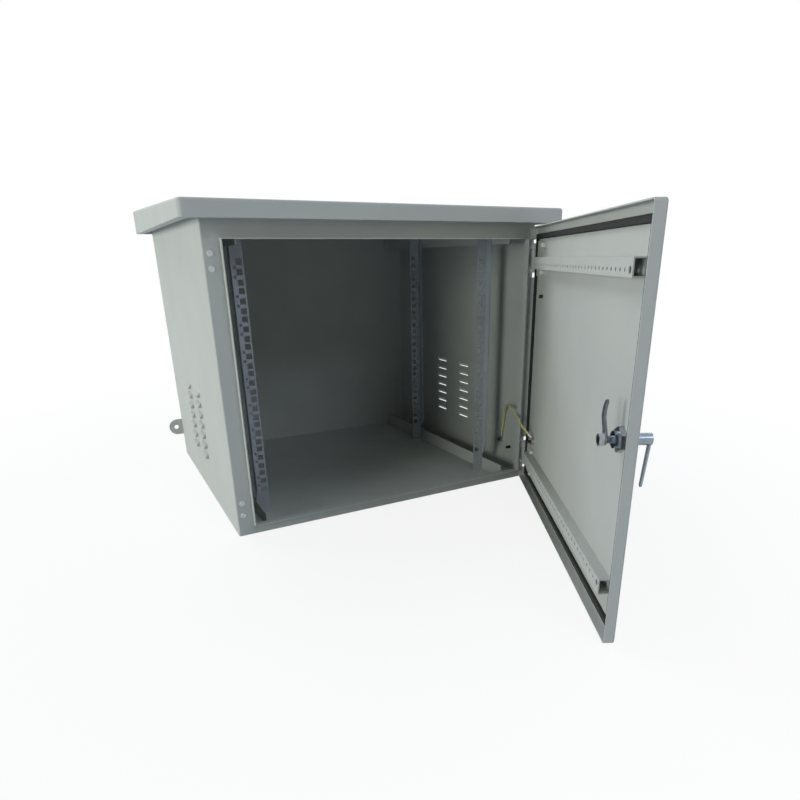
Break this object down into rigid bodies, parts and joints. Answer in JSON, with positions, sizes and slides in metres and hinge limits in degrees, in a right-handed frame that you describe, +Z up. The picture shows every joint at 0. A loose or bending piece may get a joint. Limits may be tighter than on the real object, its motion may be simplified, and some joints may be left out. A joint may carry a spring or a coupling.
{
  "type": "roadside utility cabinet",
  "caption": "Grey sheet-steel outdoor rack cabinet with a sloping rain roof, louvred sides, rack posts and a gasketed door hung on the right that stands open",
  "frame": {"origin": "centre of the body's flat underside", "axes": "+X to the right seen from the front, +Y to the back wall, +Z up"},
  "size_m": [0.663, 1.0855, 0.5383],
  "materials": {
    "grey_powder_coat": "satin light grey powder coat on sheet steel",
    "blue_grey_coat": "satin mid grey coat on sheet steel",
    "zinc_plate": "bright zinc plate",
    "tinned_copper": "tin plate on copper",
    "copper_flash": "dull brown copper flash on weld studs",
    "chrome_plate": "dull chrome plate on zinc casting",
    "dark_zinc": "dull dark zinc plate",
    "foam_rubber": "matt black cellular rubber",
    "white_cap_plastic": "plain white moulded cap",
    "wire_insulation": "yellow insulation with a green stripe"
  },
  "bodies": {
    "cabinet": {"back_panel": "grey_powder_coat", "earth_wire": "wire_insulation", "floor_panel": "grey_powder_coat", "frame_hinge_bolts": "white_cap_plastic", "frame_hinge_nuts": "zinc_plate", "frame_hole_plugs": "white_cap_plastic", "front_left_post": "blue_grey_coat", "front_right_post": "blue_grey_coat", "front_roof_bearer": "grey_powder_coat", "left_side_panel": "grey_powder_coat", "left_wall_ear": "grey_powder_coat", "lower_frame_hinge_leaf": "grey_powder_coat", "lower_hinge_pin": "grey_powder_coat", "lower_left_rail": "grey_powder_coat", "lower_right_rail": "grey_powder_coat", "post_bolts": "zinc_plate", "post_nuts": "zinc_plate", "rain_roof": "grey_powder_coat", "rear_left_post": "blue_grey_coat", "rear_right_post": "blue_grey_coat", "rear_roof_bearer": "grey_powder_coat", "right_side_panel": "grey_powder_coat", "right_wall_ear": "grey_powder_coat", "roof_bolts": "zinc_plate", "roof_nuts": "zinc_plate", "top_panel": "grey_powder_coat", "upper_frame_hinge_leaf": "grey_powder_coat", "upper_hinge_pin": "grey_powder_coat", "upper_left_rail": "grey_powder_coat", "upper_right_rail": "grey_powder_coat", "wall_earth_lug": "tinned_copper", "wall_earth_nut": "zinc_plate", "wall_earth_studs": "copper_flash"},
    "door": {"door_panel": "grey_powder_coat", "door_gasket": "foam_rubber", "upper_door_channel": "grey_powder_coat", "lower_door_channel": "grey_powder_coat", "upper_door_hinge_leaf": "grey_powder_coat", "lower_door_hinge_leaf": "grey_powder_coat", "door_hinge_bolts": "white_cap_plastic", "door_earth_studs": "copper_flash", "door_earth_lug": "tinned_copper", "door_earth_nut": "zinc_plate", "lock_body": "chrome_plate", "lock_nut": "zinc_plate"},
    "handle": {"lock_handle": "chrome_plate", "lock_cam": "dark_zinc", "cam_nut": "zinc_plate"}
  },
  "joints": [
    {"name": "door_hinge", "type": "hinge", "parent": "cabinet", "child": "door", "pos_m": [0.2925, -0.2865, 0.244], "axis": [0, 0, 1], "range_deg": [-62, 48], "deforming": ["earth_wire"]},
    {"name": "handle_turn", "type": "hinge", "parent": "door", "child": "handle", "pos_m": [0.04217, -0.77008, 0.244], "axis": [0.8829, -0.4695, 0], "range_deg": [0, 90]}
  ]
}
